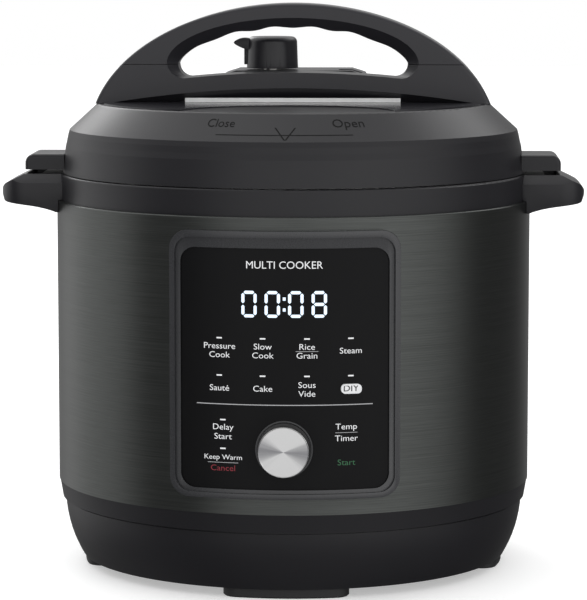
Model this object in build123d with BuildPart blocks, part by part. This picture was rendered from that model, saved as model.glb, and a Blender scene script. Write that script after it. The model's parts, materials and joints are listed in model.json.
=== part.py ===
from build123d import *
import os
from math import cos, radians, sin, sqrt

# Electric pressure cooker, about 5.7 litres. Millimetres, +Z up, the front faces -Y.
# The origin is on the floor, on the axis of the pot.

# ---------------------------------------------------------------- driving dimensions
FOOT_H = 5.3                 # height of the foot pads under the housing
FOOT_R = 110.6               # middle radius of the curved foot pads
FOOT_W = 18.0
FOOT_ARC = 26.4              # degrees covered by a pad's middle line
FLOOR_T = 3.6                # thickness of the housing floor
COVER_R = 70.0               # rebate for the bottom cover
COVER_T = 1.6
SKIRT_TOP = 37.5             # top of the curved part of the bottom housing
BAND_TOP = 48.5              # top of the housing's band, where the steel starts
SHELL_R = 134.5
SHELL_T = 0.8
SHELL_TOP = 208.0
RIM_R = 132.3
RIM_TOP = 222.5
POT_R = 110.0                # inner pot, outside
POT_T = 1.2
POT_BOTTOM = 60.3
POT_TOP = 215.5
POT_RIM_R = 116.5
WELL_R = 113.0               # outer pot, inside
WELL_T = 1.5
WELL_FLOOR = 42.0
LID_BOTTOM = 223.0
LID_CREASE = 247.3
LID_TOP = 261.8
LID_TOP_R = 111.2
WALL = 2.6                   # usual wall of the plastic mouldings

PANEL_R = 136.5              # outer face of the curved glass
GLASS_T = 2.5
GLASS_HALF = 55.6
GLASS_LOW = 62.7
GLASS_HIGH = 191.8
BEZEL_R = 139.0
BEZEL_HALF = 61.7
BEZEL_LOW = 57.8
BEZEL_HIGH = 201.0
BOARD_Y = -127.0             # front face of the flat control board

DIAL_Z = 84.6
DIAL_R = 14.15
DIAL_FRONT = 147.0           # distance of the dial's face in front of the axis
DIAL_BACK = 136.2

HANDLE_ARC_Z = 243.2         # centre of the lid handle's elliptical arc
HANDLE_A = 115.3
HANDLE_B = 75.0
HANDLE_HALF = 15.5           # half the handle's thickness, front to back
HANDLE_SEAM = 284.0
FLARE_START = 7.0            # distance from the handle's middle where its opening starts to flare
SPRING_Z = 284.3             # height at which the handle's opening is widest
BAR_TOP = 279.4              # top of the bar below the opening, in the middle
SADDLE_T = 0.8

VENT_X = -13.3               # steam release, behind the lid handle
VENT_Y = 31.5
FLOAT_X = 30.0
DECK_TOP = 279.3
KNOB_R = 14.8
KNOB_TOP = 298.4

SIDE_HANDLE_REACH = 164.6
SIDE_HANDLE_HALF = 28.0
COLLECTOR_BACK = 147.0
LUGS = 6

os.makedirs("parts", exist_ok=True)


def finish(part, name):
    """Labels a finished piece and writes its STEP file."""
    part.label = name
    export_step(part, f"parts/{name}.step")


def section(*corners):
    """A closed outline through (radius, height) corners, on the plane through the axis."""
    with BuildSketch(Plane.XZ) as outline:
        with BuildLine():
            Polyline(*corners, close=True)
        make_face()
    return outline.sketch


def front_outline(half, low, high, corner):
    """A rounded rectangle seen from the front, for the panel's parts and cut-outs."""
    with BuildSketch(Plane.XZ) as outline:
        with Locations((0, (low + high) / 2)):
            RectangleRounded(2 * half, high - low, corner)
    return outline.sketch


def curved_plate(outline, inner, outer):
    """The part of a tube between two radii that lies behind a front outline."""
    with BuildPart() as plate:
        extrude(outline, amount=2 * inner)
        with BuildSketch(Plane.XY):
            Circle(outer)
            Circle(inner, mode=Mode.SUBTRACT)
        extrude(amount=RIM_TOP, mode=Mode.INTERSECT)
    return plate.part


def wire(radius, bend, *points):
    """A round wire along a rounded polyline."""
    with BuildPart() as lead:
        with BuildLine() as route:
            FilletPolyline(*points, radius=bend)
        with BuildSketch(Plane(origin=route.line @ 0, z_dir=route.line % 0)):
            Circle(radius)
        sweep()
    return lead.part


# ================================================================ base: housing and shell
foot_middle = CenterArc((0, 0), FOOT_R, -FOOT_ARC / 2, FOOT_ARC)
FOOT_SINK = 1.0              # depth of the pockets that the pads are glued into
FLOOR_TOP = FOOT_H + FLOOR_T
SCREW_R = 65.0               # circle of the cover screws
BOARD_POSTS = ((-44, 46), (44, 46), (-44, 88), (44, 88))
BOARD_Z = 16.0
INLET_HALF = 20.0
INLET_LOW = 11.5
INLET_HIGH = 36.5

with BuildPart() as bottom_housing:
    with BuildSketch(Plane.XZ):
        with BuildLine():
            Line((60, FOOT_H), (121, FOOT_H))
            ThreePointArc((121, FOOT_H), (127, 18), (130.8, SKIRT_TOP))
            Polyline((130.8, SKIRT_TOP), (130, SKIRT_TOP), (130, SKIRT_TOP + 1), (132.5, SKIRT_TOP + 1),
                     (134.2, BAND_TOP), (133.4, BAND_TOP), (133.4, 55), (131.2, 55), (131.2, 47),
                     (127.5, 40), (127.5, SKIRT_TOP))
            ThreePointArc((127.5, SKIRT_TOP), (123.9, 18.5), (118.5, FLOOR_TOP))
            Polyline((118.5, FLOOR_TOP), (60, FLOOR_TOP), (60, FOOT_H))
        make_face()
    revolve(axis=Axis.Z)
    with BuildSketch(Plane.XY.offset(FOOT_H)):
        Circle(COVER_R)
    extrude(amount=COVER_T + 0.1, mode=Mode.SUBTRACT)
    with BuildSketch(Plane.XY.offset(FOOT_H)):
        with PolarLocations(0, 4):
            SlotArc(foot_middle, FOOT_W + 0.2)
    extrude(amount=FOOT_SINK, mode=Mode.SUBTRACT)
    # bosses for the cover screws and posts for the power board
    with BuildSketch(Plane.XY.offset(FLOOR_TOP)):
        with PolarLocations(SCREW_R, 4, start_angle=45):
            Circle(4.5)
    extrude(amount=4)
    with BuildSketch(Plane.XY.offset(FLOOR_TOP)):
        with Locations(*BOARD_POSTS):
            Circle(3.6)
    extrude(amount=BOARD_Z - FLOOR_TOP)
    with BuildSketch(Plane.XY.offset(FOOT_H)):
        with PolarLocations(SCREW_R, 4, start_angle=45):
            Circle(2.0)
    extrude(amount=FLOOR_T + 5, mode=Mode.SUBTRACT)
    # window for the mains inlet, at the back
    with BuildSketch(Plane.XZ.offset(-110)):
        with Locations((0, (INLET_LOW + INLET_HIGH) / 2)):
            Rectangle(2 * INLET_HALF + 0.2, INLET_HIGH - INLET_LOW + 0.2)
    extrude(amount=-30, mode=Mode.SUBTRACT)
finish(bottom_housing.part, "bottom_housing")

with BuildPart() as foot_pads:
    with BuildSketch(Plane.XY):
        with PolarLocations(0, 4):
            SlotArc(foot_middle, FOOT_W)
    extrude(amount=FOOT_H + FOOT_SINK)
    chamfer(foot_pads.edges().group_by(Axis.Z)[0], 0.8)
finish(foot_pads.part, "foot_pads")

with BuildPart() as bottom_cover:
    with BuildSketch(Plane.XY.offset(FOOT_H)):
        Circle(COVER_R - 0.3)
        with PolarLocations(SCREW_R, 4, start_angle=45):
            Circle(2.1, mode=Mode.SUBTRACT)
        with GridLocations(44, 9, 2, 9):
            SlotOverall(34, 3, mode=Mode.SUBTRACT)
    extrude(amount=COVER_T)
finish(bottom_cover.part, "bottom_cover")

with BuildPart() as cover_screws:
    with BuildSketch(Plane.XY.offset(FOOT_H - 2)):
        with PolarLocations(SCREW_R, 4, start_angle=45):
            Circle(3.6)
    extrude(amount=2)
    chamfer(cover_screws.edges().group_by(Axis.Z)[0], 0.6)
    with BuildSketch(Plane.XY.offset(FOOT_H)):
        with PolarLocations(SCREW_R, 4, start_angle=45):
            Circle(1.9)
    extrude(amount=8)
finish(cover_screws.part, "cover_screws")

with BuildPart() as steel_shell:
    revolve(section((SHELL_R - SHELL_T, BAND_TOP), (SHELL_R, BAND_TOP), (SHELL_R, SHELL_TOP),
                    (128, SHELL_TOP), (128, SHELL_TOP - SHELL_T),
                    (SHELL_R - SHELL_T, SHELL_TOP - SHELL_T)), axis=Axis.Z)
    fillet(steel_shell.edges().group_by(Axis.Z)[-1].sort_by(SortBy.LENGTH)[-1], 0.7)
    extrude(front_outline(BEZEL_HALF - 2.7, BEZEL_LOW + 2, BEZEL_HIGH - 2, 8), amount=SHELL_R + 10,
            mode=Mode.SUBTRACT)
finish(steel_shell.part, "steel_shell")

RIM_IN = 127.9
HANDLE_SCREW_Z = 215.0
HANDLE_SCREW_Y = 14.0

with BuildPart() as upper_rim:
    revolve(section((118, SHELL_TOP), (RIM_R, SHELL_TOP), (RIM_R, RIM_TOP), (RIM_IN, RIM_TOP),
                    (RIM_IN, SHELL_TOP + 2.4), (118, SHELL_TOP + 2.4)), axis=Axis.Z)
    fillet(upper_rim.edges().group_by(Axis.Z)[-1], 1.0)
    with BuildSketch(Plane.YZ):
        with Locations((-HANDLE_SCREW_Y, HANDLE_SCREW_Z), (HANDLE_SCREW_Y, HANDLE_SCREW_Z)):
            Circle(2.0)
    extrude(amount=150, both=True, mode=Mode.SUBTRACT)
    with BuildSketch(Plane.YZ):
        with Locations((-HANDLE_SCREW_Y, HANDLE_SCREW_Z), (HANDLE_SCREW_Y, HANDLE_SCREW_Z)):
            Circle(3.6)
    extrude(amount=129.6, both=True, mode=Mode.SUBTRACT)
finish(upper_rim.part, "upper_rim")


def side_handle(side):
    """A carrying handle with the blind slot that the lid's fin is parked in; side is -1 or 1."""
    with BuildPart() as handle:
        with BuildSketch(Plane.XZ):
            with BuildLine():
                Polyline((side * 133, 201.2), (side * 126, 201.2), (side * 126, RIM_TOP),
                         (side * 151.6, RIM_TOP), (side * 160.6, 218.1))
                Spline((side * 160.6, 218.1), (side * 163.4, 215.9), (side * SIDE_HANDLE_REACH, 212.4),
                       (side * 163.4, 208.7), (side * 160.2, 206.5),
                       tangents=((side * 9, -4.4), (-side * 6, -1.2)))
                Spline((side * 160.2, 206.5), (side * 151, 205.3), (side * 142.7, 204), (side * 133, 201.2))
            make_face()
        extrude(amount=SIDE_HANDLE_HALF, both=True)
        with BuildSketch(Plane.XY.offset(200)):
            with Locations((side * (SIDE_HANDLE_REACH - 50), 0)):
                RectangleRounded(100, 2 * SIDE_HANDLE_HALF, 14)
        extrude(amount=30, mode=Mode.INTERSECT)
        # both ends of the top slope down
        with BuildSketch(Plane.YZ):
            with BuildLine():
                Polyline((-28, 195), (28, 195), (28, 217.6), (23, 222.5), (-23, 222.5), (-28, 217.6),
                         close=True)
            make_face()
        extrude(amount=170, both=True, mode=Mode.INTERSECT)
        with BuildSketch(Plane.XY.offset(190)):
            Circle(SHELL_R + 0.1)
        extrude(amount=SHELL_TOP + 0.1 - 190, mode=Mode.SUBTRACT)
        with BuildSketch(Plane.XY.offset(190)):
            Circle(RIM_R)
        extrude(amount=50, mode=Mode.SUBTRACT)
        with BuildSketch(Plane.XY.offset(212.5)):
            with Locations((side * 146.25, 0)):
                RectangleRounded(8.5, 40, 2)
        extrude(amount=20, mode=Mode.SUBTRACT)
        with BuildSketch(Plane.YZ.offset(side * RIM_R)):
            with Locations((-HANDLE_SCREW_Y, HANDLE_SCREW_Z), (HANDLE_SCREW_Y, HANDLE_SCREW_Z)):
                Circle(1.95)
        extrude(amount=7.5, both=True, mode=Mode.SUBTRACT)
    return handle.part


side_handle_left = side_handle(-1)
finish(side_handle_left, "side_handle_left")
side_handle_right = side_handle(1)
finish(side_handle_right, "side_handle_right")

with BuildPart() as handle_screws:
    for side in (-1, 1):
        with BuildSketch(Plane.YZ.offset(side * 127.6)):
            with Locations((-HANDLE_SCREW_Y, HANDLE_SCREW_Z), (HANDLE_SCREW_Y, HANDLE_SCREW_Z)):
                Circle(3.4)
        extrude(amount=side * 1.9)
        with BuildSketch(Plane.YZ.offset(side * 129.5)):
            with Locations((-HANDLE_SCREW_Y, HANDLE_SCREW_Z), (HANDLE_SCREW_Y, HANDLE_SCREW_Z)):
                Circle(1.9)
        extrude(amount=side * 10)
finish(handle_screws.part, "handle_screws")

# ================================================================ base: well, heater, sensor
ELEMENT_R = 62.0
ELEMENT_Z = 50.0
ELEMENT_END = 330.0          # degrees, where the heating tube's second end is

with BuildPart() as outer_pot:
    revolve(section((20, WELL_FLOOR), (106, WELL_FLOOR), (WELL_R + WELL_T, 50.5),
                    (WELL_R + WELL_T, 210.5), (127.4, 210.5), (127.4, 212), (118, 212), (118, 213.8),
                    (WELL_R, 213.8), (WELL_R, 51.1), (105.4, WELL_FLOOR + WELL_T),
                    (20, WELL_FLOOR + WELL_T)), axis=Axis.Z)
    with BuildSketch(Plane.XY.offset(WELL_FLOOR)):
        for turn in (0, ELEMENT_END):
            with Locations((ELEMENT_R * cos(radians(turn)), ELEMENT_R * sin(radians(turn)))):
                Circle(5)
    extrude(amount=WELL_T, mode=Mode.SUBTRACT)
finish(outer_pot.part, "outer_pot")

ring_lug = CenterArc((0, 0), 124.4, -14, 28)
with BuildPart() as locking_ring:
    revolve(section((118.4, 212), (127.5, 212), (127.5, 222), (126, 222), (126, 213.2), (118.4, 213.2)),
            axis=Axis.Z)
    with BuildSketch(Plane.XY.offset(219.5)):
        with PolarLocations(0, LUGS):
            SlotArc(ring_lug, 4)
    extrude(amount=2)
finish(locking_ring.part, "locking_ring")

with BuildPart() as heat_shield:
    revolve(section((121, 50), (121.8, 50), (121.8, 207.2), (127.8, 207.2), (127.8, 208), (121, 208)),
            axis=Axis.Z)
finish(heat_shield.part, "heat_shield")

with BuildPart() as heating_plate:
    revolve(section((18, 51), (88, 51), (88, 58), (86, 60), (18, 60)), axis=Axis.Z)
    with BuildSketch(Plane.XY.offset(WELL_FLOOR + WELL_T)):
        with PolarLocations(76, 3, start_angle=60):
            Circle(4)
    extrude(amount=8)
    with Locations((0, 0, ELEMENT_Z)):
        Torus(ELEMENT_R, 4.1, mode=Mode.SUBTRACT)
finish(heating_plate.part, "heating_plate")

with BuildPart() as heating_element:
    with BuildSketch(Plane.XZ):
        with Locations((ELEMENT_R, ELEMENT_Z)):
            Circle(4)
    revolve(axis=Axis.Z, revolution_arc=ELEMENT_END)
    with BuildSketch(Plane.XY.offset(33)):
        for turn in (0, ELEMENT_END):
            with Locations((ELEMENT_R * cos(radians(turn)), ELEMENT_R * sin(radians(turn)))):
                Circle(3)
    extrude(amount=ELEMENT_Z - 33)
finish(heating_element.part, "heating_element")

with BuildPart() as thermal_fuse:
    with BuildSketch(Plane.YZ.offset(-50)):
        with Locations((0, 47.3)):
            Circle(3.3)
    extrude(amount=22)
    chamfer(thermal_fuse.edges().filter_by(GeomType.CIRCLE), 0.6)
finish(thermal_fuse.part, "thermal_fuse")

SPRING_LOW = 38.3
SPRING_HIGH = 53.0
SPRING_WIRE = 0.7

with BuildPart() as sensor_bracket:
    revolve(section((5.2, 36.8), (26, 36.8), (26, WELL_FLOOR), (22, WELL_FLOOR), (22, SPRING_LOW),
                    (5.2, SPRING_LOW)), axis=Axis.Z)
finish(sensor_bracket.part, "sensor_bracket")

with BuildPart() as sensor_spring:
    with BuildLine() as coil:
        Helix(pitch=3.2, height=SPRING_HIGH - SPRING_LOW - 2 * SPRING_WIRE - 0.2, radius=8.5,
              center=(0, 0, SPRING_LOW + SPRING_WIRE + 0.1))
    with BuildSketch(Plane(origin=coil.line @ 0, z_dir=coil.line % 0)):
        Circle(SPRING_WIRE)
    sweep(is_frenet=True)
finish(sensor_spring.part, "sensor_spring")

with BuildPart() as temp_sensor:
    revolve(section((0, 34.4), (5, 34.4), (5, 35), (7.2, 35), (7.2, 36.6), (5, 36.6), (5, SPRING_HIGH),
                    (16.5, SPRING_HIGH), (16.5, 59.2), (15.5, 60.1), (0, 60.1)), axis=Axis.Z)
finish(temp_sensor.part, "temp_sensor")

# ================================================================ base: electrics
with BuildPart() as power_board:
    with BuildSketch(Plane.XY.offset(BOARD_Z)):
        with Locations((0, 67)):
            RectangleRounded(98, 54, 3)
    extrude(amount=1.6)
finish(power_board.part, "power_board")

BOARD_TOP = BOARD_Z + 1.6
with BuildPart() as relay:
    with BuildSketch(Plane.XY.offset(BOARD_TOP)):
        with Locations((-28, 78)):
            RectangleRounded(22, 16, 1)
    extrude(amount=15)
    chamfer(relay.edges().group_by(Axis.Z)[-1], 0.6)
finish(relay.part, "relay")

with BuildPart() as transformer:
    with BuildSketch(Plane.XY.offset(BOARD_TOP)):
        with Locations((22, 74)):
            RectangleRounded(26, 20, 1)
    extrude(amount=14)
    with BuildSketch(Plane.XY.offset(BOARD_TOP)):
        with Locations((22, 74)):
            RectangleRounded(16, 26, 1)
    extrude(amount=17)
finish(transformer.part, "transformer")

with BuildPart() as capacitors:
    with BuildSketch(Plane.XY.offset(BOARD_TOP)):
        with Locations((-28, 54), (-12, 54)):
            Circle(5.5)
    extrude(amount=16)
    fillet(capacitors.edges().group_by(Axis.Z)[-1], 0.8)
finish(capacitors.part, "capacitors")

INLET_MOUTH = 131.5
INLET_MID = (INLET_LOW + INLET_HIGH) / 2
with BuildPart() as inlet_socket:
    with BuildSketch(Plane.XZ.offset(-INLET_MOUTH)):
        with Locations((0, INLET_MID)):
            Rectangle(2 * INLET_HALF, INLET_HIGH - INLET_LOW)
    extrude(amount=21.5)
    chamfer(inlet_socket.faces().sort_by(Axis.Y)[-1].edges(), 1.0)
    with BuildSketch(Plane.XZ.offset(-INLET_MOUTH)):
        with Locations((0, INLET_MID)):
            RectangleRounded(27.5, 19.5, 3)
    extrude(amount=17.5, mode=Mode.SUBTRACT)
finish(inlet_socket.part, "inlet_socket")

PIN_SPOTS = ((-7, INLET_MID - 2), (7, INLET_MID - 2), (0, INLET_MID + 3))
with BuildPart() as inlet_pins:
    with BuildSketch(Plane.XZ.offset(-126)):
        with Locations(*PIN_SPOTS):
            Rectangle(2.4, 4.4)
    extrude(amount=12)
finish(inlet_pins.part, "inlet_pins")

mains_wires = Compound(children=[
    wire(1.2, 3, (x, 109.9, 24), (x, 91, 24), (x, 91, BOARD_TOP + 0.1)) for x in (-8, 0, 8)])
finish(mains_wires, "mains_wires")

ELEMENT_X = ELEMENT_R * cos(radians(ELEMENT_END))
ELEMENT_Y = ELEMENT_R * sin(radians(ELEMENT_END))
heater_wires = Compound(children=[
    wire(1.2, 4, (ELEMENT_R, 0, 32.9), (ELEMENT_R, 0, 25), (40, 58, 25), (40, 58, BOARD_TOP + 0.1)),
    wire(1.2, 4, (ELEMENT_X, ELEMENT_Y, 32.9), (ELEMENT_X, ELEMENT_Y, 25), (33, 48, 25),
         (33, 48, BOARD_TOP + 0.1))])
finish(heater_wires, "heater_wires")

panel_cable = wire(1.5, 5, (-40, 60, BOARD_TOP + 0.1), (-40, 60, 26), (-64, 0, 26), (-20, -108, 26),
                   (-20, -123.9, 44), (-20, -123.9, 72))
finish(panel_cable, "panel_cable")

# ================================================================ base: control panel
LAMP_ROWS = (143.8, 123.8)
LAMP_TURNS = (-14.7, -4.9, 4.9, 14.7)
LAMPS = [(turn, z) for z in LAMP_ROWS for turn in LAMP_TURNS]
LAMPS += [(-13.9, 99.6), (-13.9, 82.3), (13.6, 96.4)]
GLASS_IN = PANEL_R - GLASS_T
CARRIER_R = GLASS_IN - 0.1


def lamp_x(turn):
    """Sideways place of a lamp that is turned by some degrees around the axis."""
    return GLASS_IN * sin(radians(turn))


with BuildPart() as panel_bezel:
    add(curved_plate(front_outline(BEZEL_HALF, BEZEL_LOW, BEZEL_HIGH, 10.5), SHELL_R + 0.05, BEZEL_R))
    add(curved_plate(front_outline(BEZEL_HALF - 2.9, BEZEL_LOW + 2.2, BEZEL_HIGH - 2.2, 8), 131.5,
                     SHELL_R + 0.05))
    extrude(front_outline(GLASS_HALF + 0.1, GLASS_LOW - 0.1, GLASS_HIGH + 0.1, 8), amount=150,
            mode=Mode.SUBTRACT)
    # a raised lip runs round the outside, with a lower step inside it
    add(curved_plate(front_outline(BEZEL_HALF - 2.8, BEZEL_LOW + 2.8, BEZEL_HIGH - 3.6, 8.4), 137.3, 142),
        mode=Mode.SUBTRACT)
finish(panel_bezel.part, "panel_bezel")

with BuildPart() as panel_glass:
    add(curved_plate(front_outline(GLASS_HALF, GLASS_LOW, GLASS_HIGH, 8), GLASS_IN, PANEL_R))
    with BuildSketch(Plane.XZ):
        with Locations((0, DIAL_Z)):
            Circle(15.5)
    extrude(amount=150, mode=Mode.SUBTRACT)
finish(panel_glass.part, "panel_glass")

with BuildPart() as panel_carrier:
    add(curved_plate(front_outline(GLASS_HALF - 0.1, GLASS_LOW + 0.1, GLASS_HIGH - 0.1, 8), 132.8,
                     CARRIER_R))
    with BuildSketch(Plane.XZ):
        with Locations((0, DIAL_Z)):
            Circle(9.8)
        with Locations((0, 162)):
            RectangleRounded(50, 28, 2)
        for turn, z in LAMPS:
            with Locations((lamp_x(turn), z)):
                Circle(1.9)
    extrude(amount=150, mode=Mode.SUBTRACT)
finish(panel_carrier.part, "panel_carrier")

with BuildPart() as control_board:
    extrude(front_outline(38, 68, 190, 2), amount=-BOARD_Y)
    extrude(front_outline(40, 60, 200, 2), amount=-BOARD_Y - 1.4, mode=Mode.SUBTRACT)
finish(control_board.part, "control_board")

with BuildPart() as display_module:
    with BuildSketch(Plane.XZ.offset(-BOARD_Y + 0.1)):
        with Locations((0, 162)):
            RectangleRounded(48, 24, 1)
    extrude(amount=4.3)
finish(display_module.part, "display_module")

with BuildPart() as light_guides:
    for turn, z in LAMPS:
        reach = sqrt((CARRIER_R - 0.2) ** 2 - (abs(lamp_x(turn)) + 1.6) ** 2)
        with BuildSketch(Plane.XZ.offset(-BOARD_Y + 0.1)):
            with Locations((lamp_x(turn), z)):
                Circle(1.6)
        extrude(amount=reach + BOARD_Y - 0.1)
finish(light_guides.part, "light_guides")


def dial_disc(radius, back, front, mode=Mode.ADD):
    """A disc on the dial's axis between two distances in front of the cooker's axis."""
    with BuildSketch(Plane.XZ.offset(back)) as face:
        with Locations((0, DIAL_Z)):
            Circle(radius)
    return extrude(face.sketch, amount=front - back, mode=mode)


SHAFT_R = 3.0
with BuildPart() as encoder_body:
    with BuildSketch(Plane.XZ.offset(-BOARD_Y + 0.1)):
        with Locations((0, DIAL_Z)):
            RectangleRounded(13, 13, 1)
    extrude(amount=5.9)
    dial_disc(SHAFT_R + 0.2, 129.8, 135, Mode.SUBTRACT)
finish(encoder_body.part, "encoder_body")

with BuildPart() as push_plunger:
    dial_disc(2.9, 131.0, 131.8)
finish(push_plunger.part, "push_plunger")

with BuildPart() as encoder_shaft:
    dial_disc(SHAFT_R, 131.9, 144.0)
    chamfer(encoder_shaft.edges().filter_by(GeomType.CIRCLE), 0.3)
finish(encoder_shaft.part, "encoder_shaft")

with BuildPart() as dial_knob:
    dial_disc(DIAL_R, DIAL_BACK, DIAL_FRONT)
    chamfer(dial_knob.edges().filter_by(GeomType.CIRCLE).group_by(Axis.Y)[0], 1.5)
    dial_disc(DIAL_R - 2, DIAL_BACK, DIAL_BACK + 3.5, Mode.SUBTRACT)
    dial_disc(6, DIAL_BACK, DIAL_BACK + 3.5)
    dial_disc(SHAFT_R + 0.05, DIAL_BACK, 144.1, Mode.SUBTRACT)
finish(dial_knob.part, "dial_knob")

with BuildPart() as dial_trim_ring:
    dial_disc(15.35, 134.1, 136.6)
    dial_disc(14.6, 135.0, 137.0, Mode.SUBTRACT)
    dial_disc(3.6, 134.0, 136.0, Mode.SUBTRACT)
finish(dial_trim_ring.part, "dial_trim_ring")

# ================================================================ inner pot and seal
with BuildPart() as inner_pot:
    with BuildSketch(Plane.XZ):
        with BuildLine():
            Line((0, POT_BOTTOM), (POT_R - 10, POT_BOTTOM))
            RadiusArc((POT_R - 10, POT_BOTTOM), (POT_R, POT_BOTTOM + 10), -10)
            Polyline((POT_R, POT_BOTTOM + 10), (POT_R, 214.2), (POT_RIM_R - 0.65, 214.2))
            ThreePointArc((POT_RIM_R - 0.65, 214.2), (POT_RIM_R, 214.85), (POT_RIM_R - 0.65, POT_TOP))
            Polyline((POT_RIM_R - 0.65, POT_TOP), (POT_R - POT_T, POT_TOP),
                     (POT_R - POT_T, POT_BOTTOM + 10))
            RadiusArc((POT_R - POT_T, POT_BOTTOM + 10), (POT_R - 10, POT_BOTTOM + POT_T), 8.8)
            Polyline((POT_R - 10, POT_BOTTOM + POT_T), (0, POT_BOTTOM + POT_T), (0, POT_BOTTOM))
        make_face()
    revolve(axis=Axis.Z)
finish(inner_pot.part, "inner_pot")

with BuildPart() as sealing_ring:
    revolve(section((108.4, 216.4), (112, POT_TOP + 0.3), (115.5, 217), (115.5, 223), (113.8, 225),
                    (110, 225), (108, 223.4), (107.6, 219)), axis=Axis.Z)
finish(sealing_ring.part, "sealing_ring")

with BuildPart() as ring_rack:
    with Locations((0, 0, 220)):
        Torus(105.9, 1.2)
finish(ring_rack.part, "ring_rack")

# ================================================================ lid
BOLT_R = 4.0
SCREW_X = 86.0
PIPE_R = 5.0
FLOAT_R = 2.4
VENT_SPOT = (VENT_X, VENT_Y)
FLOAT_SPOT = (FLOAT_X, VENT_Y)
lid_lug = CenterArc((0, 0), 119.7, -13, 26)

with BuildPart() as inner_lid:
    revolve(section((BOLT_R + 0.1, 226), (116.2, 226), (116.2, 216.4), (117.6, 216.4), (117.6, 227.4),
                    (BOLT_R + 0.1, 227.4)), axis=Axis.Z)
    with BuildSketch(Plane.XY.offset(216.5)):
        with PolarLocations(0, LUGS):
            SlotArc(lid_lug, 4.6)
    extrude(amount=2)
    with BuildSketch(Plane.XY.offset(210)):
        Circle(116.3)
    extrude(amount=15, mode=Mode.SUBTRACT)
    with BuildSketch(Plane.XY.offset(225)):
        with Locations(VENT_SPOT):
            Circle(PIPE_R + 0.1)
        with Locations(FLOAT_SPOT):
            Circle(FLOAT_R + 0.4)
    extrude(amount=4, mode=Mode.SUBTRACT)
finish(inner_lid.part, "inner_lid")

with BuildPart() as lid_cover:
    revolve(section((0, LID_TOP), (LID_TOP_R, LID_TOP), (127.1, LID_CREASE), (123.4, LID_CREASE),
                    (110.1, LID_TOP - WALL), (0, LID_TOP - WALL)), axis=Axis.Z)
    fillet(lid_cover.edges().filter_by(GeomType.CIRCLE).group_by(Axis.Z)[-1], 2.5)
    with BuildSketch(Plane.XY.offset(227.4)):
        Circle(12)
    extrude(amount=LID_TOP - WALL - 227.4 + 0.5)
    with BuildSketch(Plane.XY.offset(227)):
        Circle(BOLT_R + 0.1)
    extrude(amount=26, mode=Mode.SUBTRACT)
    with BuildSketch(Plane.XY.offset(LID_TOP - WALL - 1)):
        with Locations(VENT_SPOT):
            Circle(PIPE_R + 0.1)
        with Locations(FLOAT_SPOT):
            Circle(6)
        with Locations((-SCREW_X, 0), (SCREW_X, 0)):
            Circle(2.1)
    extrude(amount=5, mode=Mode.SUBTRACT)
finish(lid_cover.part, "lid_cover")

FIN_REACH = 151.2
with BuildPart() as lid_skirt:
    revolve(section((128.4, LID_BOTTOM), (131, LID_BOTTOM), (129.4, 237.7), (128.6, 241), (127.9, 244.5),
                    (127.1, LID_CREASE), (122.5, LID_CREASE), (122.5, 245.6), (125.2, 244.5),
                    (126.8, 237)), axis=Axis.Z)
    # the two fins that stand over the side handles
    for side in (-1, 1):
        with BuildSketch(Plane.XZ):
            with BuildLine():
                Polyline((side * (FIN_REACH - 5), 233.5), (side * 129, 233.5), (side * 129, 224.8),
                         (side * FIN_REACH, 224.8), (side * FIN_REACH, 228.5))
                RadiusArc((side * FIN_REACH, 228.5), (side * (FIN_REACH - 5), 233.5), -side * 5)
            make_face()
        extrude(amount=20, both=True)
    fillet(lid_skirt.edges().filter_by(Axis.Z).group_by(Axis.X)[0], 2)
    fillet(lid_skirt.edges().filter_by(Axis.Z).group_by(Axis.X)[-1], 2)
finish(lid_skirt.part, "lid_skirt")

with BuildPart() as centre_nut:
    with BuildSketch(Plane.XY.offset(220.5)):
        RegularPolygon(8, 6)
    extrude(amount=5.5)
    chamfer(centre_nut.edges().group_by(Axis.Z)[0], 0.8)
    with BuildSketch(Plane.XY.offset(225)):
        Circle(BOLT_R)
    extrude(amount=27)
finish(centre_nut.part, "centre_nut")


def finger_opening():
    """The see-through opening of the lid handle, with finger waves along its top."""
    half = 64.9
    waves = [(56.9, 292.4), (50.3, 295.5), (42.5, 298.3), (35.1, 301.4), (30.7, 302.4), (24.5, 302.5),
             (18.9, 303.3), (14.0, 304.7), (8.7, 305.1), (0, 304.4)]
    across = waves + [(-x, z) for x, z in reversed(waves[:-1])]
    with BuildSketch(Plane.XZ) as outline:
        with BuildLine():
            ThreePointArc((-58, 276.8), (0, BAR_TOP), (58, 276.8))
            ThreePointArc((58, 276.8), (63.2, 279.4), (half, SPRING_Z))
            Spline((half, SPRING_Z), *across, (-half, SPRING_Z), tangents=((0, 1), (0, -1)),
                   tangent_scalars=(0.5, 0.5))
            ThreePointArc((-half, SPRING_Z), (-63.2, 279.4), (-58, 276.8))
        make_face()
    return outline.sketch


def flare_outline(away, half, rise, toe, toe_z):
    """The smooth edge of the flared opening at a distance in front of the handle's middle."""
    corner = ((toe + half) / 2 + 1.8, (toe_z + SPRING_Z) / 2 - 1.2)
    with BuildSketch(Plane.XZ.offset(away)) as outline:
        with BuildLine():
            ThreePointArc((-toe, toe_z), (0, BAR_TOP + 0.05), (toe, toe_z))
            ThreePointArc((toe, toe_z), corner, (half, SPRING_Z))
            EllipticalCenterArc((0, SPRING_Z), half, rise, 0, arc_size=180)
            ThreePointArc((-half, SPRING_Z), (-corner[0], corner[1]), (-toe, toe_z))
        make_face()
    return outline.sketch


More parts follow.
